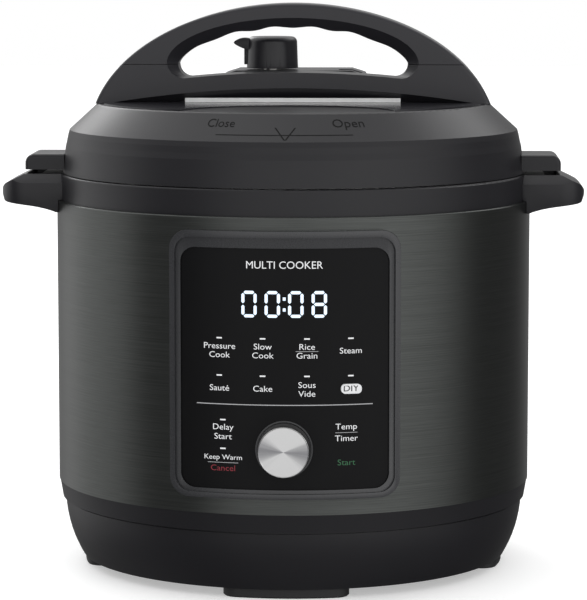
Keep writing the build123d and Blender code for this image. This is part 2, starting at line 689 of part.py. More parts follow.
def handle_arc(low, high):
    """The part of the handle's arc between two heights, with its outer edges rounded."""
    with BuildPart() as arc:
        with BuildSketch(Plane.XZ):
            with Locations((0, HANDLE_ARC_Z)):
                Ellipse(HANDLE_A, HANDLE_B)
            with Locations((0, HANDLE_ARC_Z - HANDLE_B / 2)):
                Rectangle(3 * HANDLE_A, HANDLE_B, mode=Mode.SUBTRACT)
        extrude(amount=HANDLE_HALF, both=True)
        fillet(arc.edges().filter_by(lambda edge: edge.geom_type == GeomType.ELLIPSE), 2.2)
        extrude(finger_opening(), amount=HANDLE_HALF + 1, both=True, mode=Mode.SUBTRACT)
        # the opening flares towards both faces, most at its ends and its top
        for side in (-1, 1):
            loft([flare_outline(side * FLARE_START, 63.5, 18.5, 57, 277.0),
                  flare_outline(side * (HANDLE_HALF + 0.1), 71.1, 26, 61.5, 276.1)], mode=Mode.SUBTRACT)
        with BuildSketch(Plane.XY.offset(low)):
            Rectangle(3 * HANDLE_A, 4 * HANDLE_HALF)
        extrude(amount=high - low, mode=Mode.INTERSECT)
    return arc.part


DECK_MID = (-0.5, 41)        # steam release cover, seen from above
DECK_END = 46.0              # half its length, with the sloping ends
SADDLE_TOP = LID_TOP + SADDLE_T
BAR_UNDER = 265.0            # underside of the bar under the hand opening
BAR_SLOT_HALF = 61.0         # half the length of the slot under the bar
WAIST_R = 58.9               # radius of the hollow sides of the saddle
WAIST_Y = 43.0
WEB_HALF = 8.5               # half the thickness of the bar's lower part


def under_bar(away, reach, foot_z, rise_z):
    """The space under an arc below the bar, at a distance in front of the handle's middle."""
    with BuildSketch(Plane.XZ.offset(away)) as outline:
        with BuildLine():
            ThreePointArc((-reach, foot_z), (0, rise_z), (reach, foot_z))
            Polyline((reach, foot_z), (reach, LID_TOP - 5), (-reach, LID_TOP - 5), (-reach, foot_z))
        make_face()
    return outline.sketch


with BuildPart() as handle_bridge:
    add(handle_arc(LID_TOP, HANDLE_SEAM - 0.15))
    # both faces of the bar curve in towards its underside, and a thin gap runs under it
    for side in (-1, 1):
        loft([under_bar(side * WEB_HALF, 97, 259.5, BAR_UNDER),
              under_bar(side * (HANDLE_HALF + 0.1), 103, 262.4, 270.8)], mode=Mode.SUBTRACT)
    extrude(under_bar(0, BAR_SLOT_HALF, SADDLE_TOP + 0.1, BAR_UNDER), amount=HANDLE_HALF + 1, both=True,
            mode=Mode.SUBTRACT)
    with BuildSketch(Plane.XY.offset(LID_TOP)):
        Circle(LID_TOP_R - 2.6)
        with Locations((0, WAIST_Y + WAIST_R), (0, -WAIST_Y - WAIST_R)):
            Circle(WAIST_R, mode=Mode.SUBTRACT)
        with Locations(DECK_MID):
            RectangleRounded(2 * DECK_END + 4, 56, 10)
    extrude(amount=SADDLE_T)
    with BuildSketch(Plane.XY.offset(LID_TOP)):
        with Locations(VENT_SPOT, FLOAT_SPOT):
            Circle(6)
    extrude(amount=SADDLE_T, mode=Mode.SUBTRACT)
    with BuildSketch(Plane.XY.offset(LID_TOP)):
        with Locations((-SCREW_X, 0), (SCREW_X, 0)):
            Circle(2.05)
    extrude(amount=18, mode=Mode.SUBTRACT)
finish(handle_bridge.part, "handle_bridge")

handle_grip = handle_arc(HANDLE_SEAM + 0.15, HANDLE_ARC_Z + HANDLE_B + 1)
finish(handle_grip, "handle_grip")

with BuildPart() as lid_screws:
    with BuildSketch(Plane.XY.offset(LID_TOP - WALL - 2.4)):
        with Locations((-SCREW_X, 0), (SCREW_X, 0)):
            Circle(4)
    extrude(amount=2.4)
    with BuildSketch(Plane.XY.offset(LID_TOP - WALL)):
        with Locations((-SCREW_X, 0), (SCREW_X, 0)):
            Circle(2.0)
    extrude(amount=20)
finish(lid_screws.part, "lid_screws")

# ================================================================ steam release and float valve
with BuildPart() as release_cover:
    with BuildSketch(Plane.XY.offset(SADDLE_TOP)):
        with Locations(DECK_MID):
            RectangleRounded(2 * DECK_END, 52, 8)
    extrude(amount=DECK_TOP - SADDLE_TOP, taper=8)
    with BuildSketch(Plane.XZ):
        with Locations((DECK_MID[0], 0)):
            Polygon((-DECK_END, SADDLE_TOP), (DECK_END, SADDLE_TOP), (44, 272), (40.5, 277), (33, DECK_TOP),
                    (-33, DECK_TOP), (-40.5, 277), (-44, 272), align=None)
    extrude(amount=-80, mode=Mode.INTERSECT)
    with BuildSketch(Plane.XY.offset(SADDLE_TOP)):
        with Locations(DECK_MID):
            RectangleRounded(2 * DECK_END - 6, 46, 5)
    extrude(amount=DECK_TOP - SADDLE_TOP - 4.4, taper=8, mode=Mode.SUBTRACT)
    with BuildSketch(Plane.XY.offset(DECK_TOP - 6)):
        with Locations(VENT_SPOT):
            Circle(PIPE_R + 0.2)
        with Locations((FLOAT_X + 2, VENT_Y)):
            RectangleRounded(14, 14, 3)
    extrude(amount=8, mode=Mode.SUBTRACT)
finish(release_cover.part, "release_cover")

with BuildPart() as exhaust_pipe:
    with BuildSketch(Plane.XY.offset(217)):
        with Locations(VENT_SPOT):
            Circle(PIPE_R)
    extrude(amount=65)
    with BuildSketch(Plane.XY.offset(224.2)):
        with Locations(VENT_SPOT):
            Circle(9)
    extrude(amount=1.8)
    with BuildSketch(Plane.XY.offset(217)):
        with Locations(VENT_SPOT):
            Circle(2)
    extrude(amount=65, mode=Mode.SUBTRACT)
finish(exhaust_pipe.part, "exhaust_pipe")

with BuildPart() as steam_shield:
    with BuildSketch(Plane.XY.offset(213.4)):
        with Locations(VENT_SPOT):
            Circle(13)
    extrude(amount=12.6)
    with BuildSketch(Plane.XY.offset(214.6)):
        with Locations(VENT_SPOT):
            Circle(11.8)
    extrude(amount=12, mode=Mode.SUBTRACT)
    with BuildSketch(Plane.XY.offset(215.4)):
        with Locations(VENT_SPOT):
            with PolarLocations(12.5, 10):
                Rectangle(4, 2)
    extrude(amount=7, mode=Mode.SUBTRACT)
finish(steam_shield.part, "steam_shield")

KNOB_BOTTOM = DECK_TOP + 1
with BuildPart() as release_knob:
    with BuildSketch(Plane.XY.offset(KNOB_BOTTOM)):
        with Locations(VENT_SPOT):
            Circle(KNOB_R)
    extrude(amount=KNOB_TOP - KNOB_BOTTOM, taper=2)
    fillet(release_knob.edges().group_by(Axis.Z)[-1], 3.2)
    # the pointer at the top, and the thumb rib below it
    with BuildSketch(Plane.XZ.offset(-VENT_Y)):
        with BuildLine():
            Line((VENT_X, 290.6), (VENT_X, KNOB_TOP - 0.2))
            Spline((VENT_X, KNOB_TOP - 0.2), (-27, 297.4), (-33.6, 296.6), (-35.4, 295), (-33.4, 293.2),
                   (-29, 291.4), (VENT_X - 10, 290.6))
            Line((VENT_X - 10, 290.6), (VENT_X, 290.6))
        make_face()
    extrude(amount=5, both=True)
    with BuildSketch(Plane.XY.offset(KNOB_BOTTOM + 2)):
        with Locations((VENT_X - KNOB_R, VENT_Y)):
            Rectangle(3, 3)
    extrude(amount=10)
    with BuildSketch(Plane.XY.offset(KNOB_BOTTOM)):
        with Locations(VENT_SPOT):
            Circle(11)
    extrude(amount=13.8, mode=Mode.SUBTRACT)
finish(release_knob.part, "release_knob")

with BuildPart() as vent_weight:
    with BuildSketch(Plane.XY.offset(282.3)):
        with Locations(VENT_SPOT):
            Circle(9.5)
    extrude(amount=9)
    chamfer(vent_weight.edges().filter_by(GeomType.CIRCLE), 0.8)
finish(vent_weight.part, "vent_weight")

with BuildPart() as float_valve:
    with BuildSketch(Plane.XY.offset(219.5)):
        with Locations(FLOAT_SPOT):
            Circle(FLOAT_R)
    extrude(amount=53)
    with BuildSketch(Plane.XY.offset(269)):
        with Locations(FLOAT_SPOT):
            Circle(4.5)
    extrude(amount=6)
    fillet(float_valve.edges().group_by(Axis.Z)[-1], 1.2)
finish(float_valve.part, "float_valve")

with BuildPart() as float_seal_cap:
    with BuildSketch(Plane.XY.offset(217)):
        with Locations(FLOAT_SPOT):
            Circle(6.5)
    extrude(amount=3.4)
    fillet(float_seal_cap.edges().group_by(Axis.Z)[0], 1)
    with BuildSketch(Plane.XY.offset(219.5)):
        with Locations(FLOAT_SPOT):
            Circle(FLOAT_R)
    extrude(amount=2, mode=Mode.SUBTRACT)
finish(float_seal_cap.part, "float_seal_cap")

# ================================================================ condensation collector, at the back
CUP_HALF = 32.0
CUP_LOW = 150.0
CUP_HIGH = 202.0
CUP_T = 1.6


def cup_plan(half, inner, back, corner, low):
    """Plan of the collector between a circle round the cooker's axis and its flat back."""
    with BuildSketch(Plane.XY.offset(low)) as plan:
        with Locations((0, back - 20)):
            RectangleRounded(2 * half, 40, corner)
        Circle(inner, mode=Mode.SUBTRACT)
    return plan.sketch


with BuildPart() as condensation_collector:
    extrude(cup_plan(CUP_HALF, 135.6, COLLECTOR_BACK, 5, CUP_LOW), amount=CUP_HIGH - CUP_LOW)
    extrude(cup_plan(CUP_HALF - CUP_T, 135.6 + CUP_T, COLLECTOR_BACK - CUP_T, 3.4, CUP_LOW + CUP_T),
            amount=CUP_HIGH - CUP_LOW, mode=Mode.SUBTRACT)
finish(condensation_collector.part, "condensation_collector")

with BuildPart() as collector_bracket:
    with BuildSketch(Plane.XY.offset(178)):
        with Locations((0, 130)):
            Rectangle(2 * CUP_HALF + 6, 22)
        Circle(135.3, mode=Mode.INTERSECT)
        for side in (-1, 1):
            with Locations((side * (CUP_HALF + 1.7), 133)):
                Rectangle(2.6, 18)
        Circle(SHELL_R + 0.05, mode=Mode.SUBTRACT)
    extrude(amount=26)
finish(collector_bracket.part, "collector_bracket")
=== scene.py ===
import json
from math import cos, pi, radians, sin, sqrt

import bpy
from bpy.props import FloatProperty, FloatVectorProperty, PointerProperty
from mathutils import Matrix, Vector


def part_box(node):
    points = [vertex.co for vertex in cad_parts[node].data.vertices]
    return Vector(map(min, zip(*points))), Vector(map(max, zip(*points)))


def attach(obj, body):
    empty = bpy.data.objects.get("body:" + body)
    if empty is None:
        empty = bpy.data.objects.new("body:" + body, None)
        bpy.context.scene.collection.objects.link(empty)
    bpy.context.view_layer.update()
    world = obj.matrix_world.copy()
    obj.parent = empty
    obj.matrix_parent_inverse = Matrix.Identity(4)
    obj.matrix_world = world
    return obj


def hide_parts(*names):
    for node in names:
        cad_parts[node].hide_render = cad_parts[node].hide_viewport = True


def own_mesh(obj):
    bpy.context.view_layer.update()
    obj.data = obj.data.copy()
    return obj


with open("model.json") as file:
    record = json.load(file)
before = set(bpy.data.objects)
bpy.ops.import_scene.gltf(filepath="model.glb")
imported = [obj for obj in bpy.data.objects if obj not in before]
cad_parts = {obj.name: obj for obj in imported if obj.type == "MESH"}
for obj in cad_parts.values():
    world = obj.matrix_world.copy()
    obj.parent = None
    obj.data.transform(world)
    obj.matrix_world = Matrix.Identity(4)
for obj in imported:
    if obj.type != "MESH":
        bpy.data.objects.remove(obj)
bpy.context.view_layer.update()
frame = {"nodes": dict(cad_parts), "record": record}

bl_info = {
    "name": "Pressure Cooker Looks",
    "version": (1, 0, 0),
    "blender": (4, 5, 0),
    "location": "View3D > Sidebar > Cooker",
    "description": "Finishes, printed marks, spun dial and studio for a countertop pressure cooker",
    "category": "Object",
}

MM = 0.001
NODES = frame["nodes"]
BODY_OF = {node: body for body, members in frame["record"]["behaviour"]["bodies"].items() for node in members}
SLOT_OF = {part["node"]: part["material_slot"] for part in frame["record"]["subparts"]}
GLASS_R = -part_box("panel_glass")[0].y
DIAL_LOW, DIAL_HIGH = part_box("dial_knob")
DIAL_R = (DIAL_HIGH.x - DIAL_LOW.x) / 2
DIAL_Z = (DIAL_HIGH.z + DIAL_LOW.z) / 2
LID_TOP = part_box("lid_cover")[1].z
SHELL_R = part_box("steel_shell")[1].x


# ---------------------------------------------------------------- what a user would change

class CookerSizes(bpy.types.PropertyGroup):
    """Sizes of the marks and edges that are added to the cooker"""
    edge: FloatProperty(name="Edge", description="Rounding of the mouldings' outer edges",
                        default=0.9 * MM, unit="LENGTH")
    ink: FloatProperty(name="Ink", description="Thickness of the printed marks", default=0.05 * MM,
                       unit="LENGTH")
    letters: FloatProperty(name="Letters", description="Letter size of the key labels",
                           default=4.5 * MM, unit="LENGTH")
    digit_height: FloatProperty(name="Digit height", description="Height of the clock's digits",
                                default=14.2 * MM, unit="LENGTH")
    digit_width: FloatProperty(name="Digit width", description="Width of the clock's digits",
                               default=8.2 * MM, unit="LENGTH")
    segment: FloatProperty(name="Segment", description="Width of one bar of a digit",
                           default=1.65 * MM, unit="LENGTH")
    dial_rim: FloatProperty(name="Dial rim", description="Width of the dial's bright chamfer",
                            default=0.8 * MM, unit="LENGTH")


class CookerColours(bpy.types.PropertyGroup):
    """Base colours of the finishes"""
    housing: FloatVectorProperty(name="Housing", description="Moulded housing plastic", subtype="COLOR",
                                 default=(0.0088, 0.0085, 0.0105), min=0, max=1)
    lid: FloatVectorProperty(name="Lid", description="Lid and rim plastic", subtype="COLOR",
                             default=(0.0095, 0.0092, 0.0113), min=0, max=1)
    handle: FloatVectorProperty(name="Handle", description="Lid handle plastic", subtype="COLOR",
                                default=(0.0205, 0.0200, 0.0235), min=0, max=1)
    steel: FloatVectorProperty(name="Dark steel", description="Coated shell", subtype="COLOR",
                               default=(0.080, 0.084, 0.081), min=0, max=1)
    stainless: FloatVectorProperty(name="Stainless", description="Pot and inner lid", subtype="COLOR",
                                   default=(0.58, 0.57, 0.56), min=0, max=1)
    glow: FloatVectorProperty(name="Glow", description="Lit digits", subtype="COLOR",
                              default=(0.74, 0.87, 1.0), min=0, max=1)


class CookerStage(bpy.types.PropertyGroup):
    """Camera and studio light"""
    distance: FloatProperty(name="Distance", description="Camera to the pot's axis", default=1.758,
                            unit="LENGTH")
    height: FloatProperty(name="Height", description="Camera above the floor", default=0.3528,
                          unit="LENGTH")
    pitch: FloatProperty(name="Pitch", description="Camera's tilt down", default=radians(6.62),
                         unit="ROTATION")
    azimuth: FloatProperty(name="Azimuth", description="Camera's turn to the right", default=radians(2.1),
                           unit="ROTATION")
    lens: FloatProperty(name="Lens", description="Focal length in millimetres", default=185.3)
    windows: FloatProperty(name="Windows", description="Brightness of the studio's two big windows",
                           default=2.2)
    sky: FloatProperty(name="Sky", description="Brightness of the white ceiling", default=2.0)
    gaps: FloatProperty(name="Gaps", description="Brightness of the dark gaps between them", default=0.09)
    top: FloatProperty(name="Top", description="Power of the softbox overhead, in watts", default=3)
    back: FloatProperty(name="Back", description="Power of the softboxes behind, in watts", default=5)


# ---------------------------------------------------------------- shader trees

class Value:
    """A socket in a shader tree. Arithmetic on it adds Math nodes."""

    def __init__(self, shader, socket):
        self.shader = shader
        self.socket = socket

    def math(self, operation, *values):
        return self.shader.node("ShaderNodeMath", {"operation": operation}, dict(enumerate(values)))

    def __add__(self, other):
        return self.math("ADD", self, other)

    def __sub__(self, other):
        return self.math("SUBTRACT", self, other)

    def __rsub__(self, other):
        return self.math("SUBTRACT", other, self)

    def __mul__(self, other):
        return self.math("MULTIPLY", self, other)

    def __truediv__(self, other):
        return self.math("DIVIDE", self, other)

    def __neg__(self):
        return self.math("MULTIPLY", self, -1.0)

    __radd__ = __add__
    __rmul__ = __mul__


class Shader:
    """A material with one Principled surface, made by adding nodes to it."""

    def __init__(self, name, **constants):
        self.material = bpy.data.materials.new(name)
        self.material.use_nodes = True
        self.tree = self.material.node_tree
        self.surface = self.tree.nodes["Principled BSDF"]
        for socket, value in constants.items():
            self.feed(self.surface.inputs[socket.replace("_", " ")], value)

    def feed(self, socket, value):
        """Links a value to a socket, or sets the socket to a constant."""
        if isinstance(value, Value):
            self.tree.links.new(value.socket, socket)
        elif socket.type == "RGBA":
            socket.default_value = (*value, 1)
        else:
            socket.default_value = value

    def node(self, kind, settings, sockets, out=0):
        """Adds a node with its settings and inputs, and returns one of its outputs."""
        node = self.tree.nodes.new(kind)
        for key, value in settings.items():
            if key == "stops":
                for place, (at, grey) in enumerate(value):
                    stop = node.color_ramp.elements[place] if place < 2 else node.color_ramp.elements.new(at)
                    stop.position = at
                    stop.color = (grey, grey, grey, 1)
            else:
                setattr(node, key, value)
        for key, value in sockets.items():
            self.feed(node.inputs[key], value)
        return Value(self, node.outputs[out])

    def place(self):
        """Where a point is on the piece, in metres."""
        return self.node("ShaderNodeTexCoord", {}, {}, "Object")

    def noise(self, place, scale, detail=3.0, roughness=0.5):
        return self.node("ShaderNodeTexNoise", {},
                         {"Vector": place, "Scale": scale, "Detail": detail, "Roughness": roughness})

    def stretched(self, place, scale):
        """The same place on a scale that differs by axis."""
        return self.node("ShaderNodeMapping", {}, {"Vector": place, "Scale": scale})

    def split(self, place, axes="xyz"):
        """The x, y and z of a place, or those of them that are asked for."""
        node = self.tree.nodes.new("ShaderNodeSeparateXYZ")
        self.feed(node.inputs[0], place)
        return [Value(self, node.outputs["xyz".index(axis)]) for axis in axes]

    def join(self, x, y, z):
        return self.node("ShaderNodeCombineXYZ", {}, {0: x, 1: y, 2: z})

    def ramp(self, value, *stops):
        return self.node("ShaderNodeValToRGB", {"stops": stops}, {"Fac": value})

    def blend(self, low, high, amount):
        """A colour between two colours."""
        return self.node("ShaderNodeMix", {"data_type": "RGBA"}, {0: amount, 6: low, 7: high}, 2)

    def set(self, socket, value):
        self.feed(self.surface.inputs[socket], value)

    def bump(self, height, strength, depth):
        """Raises the surface where the height is high."""
        self.set("Normal", self.node("ShaderNodeBump", {},
                                     {"Strength": strength, "Distance": depth, "Height": height}))


def tone(colour, factor):
    """A colour made lighter or darker."""
    return tuple(min(1.0, channel * factor) for channel in colour)


def moulded(name, colour, roughness, grain=0.10, specular=0.5):
    """Moulded plastic: fine tool grain, slow changes of gloss, and a little dust."""
    shader = Shader(name, IOR=1.5, Specular_IOR_Level=specular)
    place = shader.place()
    cloud = shader.noise(place, 16, 4)
    fine = shader.noise(place, 2400, 2)
    dust = shader.ramp(shader.noise(place, 210, 5, 0.65), (0.60, 0.0), (0.82, 1.0))
    shader.set("Base Color", shader.blend(tone(colour, 0.88), tone(colour, 1.22), cloud * 0.7 + dust * 0.3))
    shader.set("Roughness", roughness - 0.05 + cloud * 0.08 + fine * 0.05 + dust * 0.05)
    shader.bump(fine, grain, 0.12 * MM)
    return shader.material


def handle_finish(name, colour):
    """Handle plastic: satin on the arch, polished on the low saddle plate under it."""
    shader = Shader(name, IOR=1.5, Specular_IOR_Level=0.32)
    place = shader.place()
    z, = shader.split(place, "z")
    cloud = shader.noise(place, 16, 4)
    fine = shader.noise(place, 2400, 2)
    polished = shader.ramp((z - LID_TOP) * 100.0, (0.10, 1.0), (0.16, 0.0))
    shader.set("Base Color", shader.blend(tone(colour, 0.88), tone(colour, 1.22), cloud * 0.7 + fine * 0.3))
    shader.set("Roughness", 0.28 + cloud * 0.06 + fine * 0.04 - polished * 0.17)
    shader.bump(fine, 0.05, 0.12 * MM)
    return shader.material


def brushed_round(name, colour, roughness, streak=0.14, aniso=0.65):
    """Metal brushed round the pot's axis: long horizontal streaks and short scratches."""
    shader = Shader(name, Metallic=1.0, Anisotropic=aniso, Anisotropic_Rotation=0.25)
    place = shader.place()
    x, y, z = shader.split(place)
    round_way = x.math("ARCTAN2", x, -y) * SHELL_R
    long_lines = shader.noise(shader.join(round_way * 9, 0.0, z * 2300), 1, 4, 0.6)
    short_lines = shader.noise(shader.join(round_way * 70, 0.0, z * 5200), 1, 2, 0.5)
    cloud = shader.noise(place, 9, 3)
    lines = long_lines * 0.65 + short_lines * 0.35
    shader.set("Base Color", shader.blend(tone(colour, 1 - streak * 2), tone(colour, 1 + streak * 2),
                                          shader.ramp(lines, (0.32, 0.0), (0.68, 1.0))))
    shader.set("Roughness", roughness - 0.06 + lines * 0.10 + cloud * 0.04)
    shader.bump(lines, 0.10, 0.05 * MM)
    return shader.material


def satin_metal(name, colour, roughness):
    """Plain metal with fine random wear."""
    shader = Shader(name, Metallic=1.0)
    place = shader.place()
    wear = shader.noise(place, 420, 5, 0.6)
    cloud = shader.noise(place, 24, 3)
    shader.set("Base Color", shader.blend(tone(colour, 0.86), tone(colour, 1.1), wear * 0.5 + cloud * 0.5))
    shader.set("Roughness", roughness - 0.06 + wear * 0.10 + cloud * 0.05)
    shader.bump(wear, 0.06, 0.05 * MM)
    return shader.material


def cover_glass(name):
    """Black panel glass with faint wiping marks."""
    shader = Shader(name, IOR=1.5, Specular_IOR_Level=0.06)
    place = shader.place()
    wiped = shader.noise(shader.stretched(place, (30, 30, 9)), 1, 4, 0.55)
    specks = shader.ramp(shader.noise(place, 900, 2), (0.70, 0.0), (0.78, 1.0))
    shader.set("Base Color", shader.blend((0.0050, 0.0050, 0.0054), (0.0072, 0.0072, 0.0076), wiped))
    shader.set("Roughness", 0.16 + wiped * 0.10 + specks * 0.06)
    return shader.material


def rubber(name, colour, roughness):
    """Soft rubber or silicone with a powdery bloom."""
    shader = Shader(name, IOR=1.45)
    place = shader.place()
    bloom = shader.noise(place, 130, 5, 0.6)
    shader.set("Base Color", shader.blend(tone(colour, 0.85), tone(colour, 1.15), bloom))
    shader.set("Roughness", roughness - 0.05 + bloom * 0.12)
    shader.bump(shader.noise(place, 1500, 3), 0.12, 0.1 * MM)
    return shader.material


def circuit_board(name):
    """Green solder mask with copper tracks and pads showing through."""
    shader = Shader(name, IOR=1.5)
    place = shader.place()
    tracks = shader.node("ShaderNodeTexVoronoi", {"distance": "CHEBYCHEV", "feature": "F1"},
                         {"Vector": place, "Scale": 230})
    copper = shader.ramp(tracks, (0.30, 1.0), (0.34, 0.0))
    shader.set("Base Color", shader.blend((0.012, 0.085, 0.035), (0.06, 0.20, 0.09), copper))
    shader.set("Roughness", 0.34 + copper * 0.10)
    shader.bump(copper, 0.2, 0.05 * MM)
    return shader.material


def clear_cup(name):
    """Smoke-clear plastic with a light frosting."""
    shader = Shader(name, IOR=1.49)
    place = shader.place()
    frost = shader.noise(place, 45, 3)
    shader.set("Base Color", shader.blend((0.11, 0.115, 0.12), (0.17, 0.175, 0.18), frost))
    shader.set("Roughness", 0.14 + frost * 0.12)
    shader.set("Alpha", 0.62 + frost * 0.08)
    return shader.material


def lit(name, colour, glow, strength):
    """A mark that glows a little unevenly. On the clock's lit digits the glow is real; on printed marks it is
    a painted glow.
    """
    shader = Shader(name, Emission_Strength=strength)
    uneven = shader.noise(shader.place(), 300, 2)
    shader.set("Base Color", shader.blend(tone(colour, 0.9), colour, uneven))
    shader.set("Emission Color", shader.blend(tone(glow, 0.88), glow, uneven))
    shader.set("Roughness", 0.35 + uneven * 0.1)
    return shader.material


def spun_metal(name):
    """The dial's face, turned on a lathe: fine rings, with a painted bow-tie highlight of brighter and darker
    wedges in its colour.
    """
    shader = Shader(name, Metallic=1.0)
    place = shader.place()
    across, height = shader.split(place, "xz")
    up = height - DIAL_Z
    turn = across.math("ARCTAN2", across, up)
    away = across.math("SQRT", across * across + up * up)
    rings = shader.noise(shader.join(away * 5200, 0.0, 0.0), 1, 2, 0.6)
    round_x = turn.math("COSINE", turn) * 2.6
    round_y = turn.math("SINE", turn) * 2.6
    spokes = shader.noise(shader.join(round_x, round_y, 0.0), 1, 4, 0.7)
    # painted highlight: a fixed bow-tie of brighter and darker wedges in the base colour stands in for the
    # light the spun rings reflect
    painted_bow_tie_highlight = turn.math("COSINE", turn * 2.0 - 0.2) * 0.5 + 0.5
    painted_highlight_wedge = shader.ramp(painted_bow_tie_highlight, (0.0, 0.0), (0.30, 0.70), (1.0, 1.0))
    # the base colour mixes the rings and spokes with the painted highlight
    light = painted_highlight_wedge * 0.50 + spokes * 0.40 + rings * 0.25
    shader.set("Base Color", shader.blend((0.24, 0.24, 0.25), (0.62, 0.62, 0.62),
                                          shader.ramp(light, (0.30, 0.0), (0.72, 1.0))))
    shader.set("Roughness", 0.26 + rings * 0.10)
    shader.bump(rings, 0.15, 0.03 * MM)
    return shader.material


def finishes():
    """One material for each slot of the record, made once."""
    colours = bpy.context.scene.cooker_colours
    return {
        "housing_plastic": moulded("housing_plastic", tuple(colours.housing), 0.38, 0.10, 0.30),
        "lid_plastic": moulded("lid_plastic", tuple(colours.lid), 0.36, 0.10, 0.30),
        "handle_plastic": handle_finish("handle_plastic", tuple(colours.handle)),
        "bezel_plastic": moulded("bezel_plastic", (0.022, 0.0225, 0.025), 0.26, 0.05),
        "panel_black": cover_glass("panel_black"),
        "dark_steel": brushed_round("dark_steel", tuple(colours.steel), 0.36),
        "pot_steel": brushed_round("pot_steel", tuple(colours.stainless), 0.28, 0.06, 0.5),
        "cast_aluminium": satin_metal("cast_aluminium", (0.60, 0.60, 0.61), 0.48),
        "dial_metal": spun_metal("dial_metal"),
        "screw_steel": satin_metal("screw_steel", (0.58, 0.58, 0.59), 0.28),
        "pin_brass": satin_metal("pin_brass", (0.70, 0.60, 0.38), 0.26),
        "foot_rubber": rubber("foot_rubber", (0.011, 0.011, 0.012), 0.62),
        "silicone": rubber("silicone", (0.55, 0.58, 0.57), 0.45),
        "board": circuit_board("board"),
        "component_plastic": moulded("component_plastic", (0.030, 0.030, 0.034), 0.42),
        "wire_sheath": rubber("wire_sheath", (0.035, 0.035, 0.040), 0.48),
        "light_guide": lit("light_guide", (0.8, 0.82, 0.85), (0.8, 0.9, 1.0), 0.2),
        "float_red": satin_metal("float_red", (0.50, 0.03, 0.02), 0.34),
        "clear_plastic": clear_cup("clear_plastic"),
    }


# ---------------------------------------------------------------- modelling helpers

def active(piece):
    """Selects one piece only."""
    bpy.ops.object.select_all(action="DESELECT")
    piece.select_set(True)
    bpy.context.view_layer.objects.active = piece
    return piece


def paint(piece, material):
    piece.data.materials.clear()
    piece.data.materials.append(material)


def modified(piece, kind, **settings):
    """Adds a modifier and applies it."""
    active(piece)
    modifier = piece.modifiers.new(kind.lower(), kind)
    for key, value in settings.items():
        setattr(modifier, key, value)
    bpy.ops.object.modifier_apply(modifier=modifier.name)


def placed(piece, name):
    """Applies a new piece's place to its mesh and names it."""
    active(piece)
    bpy.ops.object.transform_apply(location=True, rotation=True, scale=True)
    piece.name = name
    return piece


def joined(pieces, name):
    """Joins several pieces into one."""
    bpy.ops.object.select_all(action="DESELECT")
    for piece in pieces:
        piece.select_set(True)
    bpy.context.view_layer.objects.active = pieces[0]
    bpy.ops.object.join()
    pieces[0].name = name
    return pieces[0]


def refined(node, edge, angle=40):
    """A merged copy of a CAD piece with rounded edges, which stands for it."""
    piece = bpy.data.objects.new("fine_" + node, NODES[node].data.copy())
    bpy.context.scene.collection.objects.link(piece)
    active(piece)
    bpy.ops.object.mode_set(mode="EDIT")
    bpy.ops.mesh.select_all(action="SELECT")
    bpy.ops.mesh.remove_doubles(threshold=0.002 * MM)
    bpy.ops.mesh.customdata_custom_splitnormals_clear()
    bpy.ops.mesh.dissolve_limited(angle_limit=radians(0.2))
    bpy.ops.object.mode_set(mode="OBJECT")
    modified(piece, "BEVEL", width=edge, segments=3, limit_method="ANGLE", angle_limit=radians(angle),
             harden_normals=False, use_clamp_overlap=True)
    active(piece)
    bpy.ops.object.shade_smooth_by_angle(angle=radians(35))
    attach(piece, BODY_OF[node])
    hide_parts(node)
    return piece


# ---------------------------------------------------------------- marks on the curved glass

def wrap_on_glass(piece, lift):
    """Wraps a flat mark (x across, z up, y depth) round the curved glass."""
    for vertex in piece.data.vertices:
        turn = vertex.co.x / GLASS_R
        away = GLASS_R + lift - vertex.co.y
        vertex.co = Vector((away * sin(turn), -away * cos(turn), vertex.co.z))


def lettering(words, size, x, z, squeeze=1.0, bold=-0.015 * MM):
    """One line of plain lettering that faces the front, with its middle at x and z."""
    bpy.ops.object.select_all(action="DESELECT")
    bpy.ops.object.text_add(location=(x, 0, z), rotation=(pi / 2, 0, 0))
    line = bpy.context.object
    line.data.body = words
    line.data.size = size
    line.data.align_x = "CENTER"
    line.data.align_y = "CENTER"
    line.data.resolution_u = 3
    line.data.offset = bold
    line.data.extrude = bpy.context.scene.cooker_sizes.ink / 2
    line.scale.x = squeeze
    active(line)
    bpy.ops.object.convert(target="MESH")
    return placed(bpy.context.object, "line")


def bar(x, z, width, height):
    """A thin printed bar that faces the front."""
    bpy.ops.object.select_all(action="DESELECT")
    bpy.ops.mesh.primitive_cube_add(size=1, location=(x, 0, z))
    piece = bpy.context.object
    piece.scale = (width, bpy.context.scene.cooker_sizes.ink, height)
    placed(piece, "bar")
    cuts = max(0, int(width / (4 * MM)) - 1)
    if cuts:
        active(piece)
        bpy.ops.object.mode_set(mode="EDIT")
        bpy.ops.mesh.select_all(action="SELECT")
        bpy.ops.mesh.subdivide(number_cuts=cuts)
        bpy.ops.object.mode_set(mode="OBJECT")
    return piece


def digit(figure, x, z):
    """One seven-bar figure of the clock, with its middle at x and z."""
    sizes = bpy.context.scene.cooker_sizes
    wide = sizes.digit_width / 2 - sizes.segment / 2
    half = sizes.digit_height / 2 - sizes.segment / 2
    gap = 0.35 * MM
    long_bar = half - 2 * gap
    bars = {
        "top": (0, half, 2 * wide - 2 * gap, True),
        "middle": (0, 0, 2 * wide - 2 * gap, True),
        "bottom": (0, -half, 2 * wide - 2 * gap, True),
        "upper_left": (-wide, half / 2, long_bar, False),
        "upper_right": (wide, half / 2, long_bar, False),
        "lower_left": (-wide, -half / 2, long_bar, False),
        "lower_right": (wide, -half / 2, long_bar, False),
    }
    unlit = {0: ("middle",), 8: ()}[figure]
    return [segment(x + dx, z + dz, length, flat)
            for name, (dx, dz, length, flat) in bars.items() if name not in unlit]


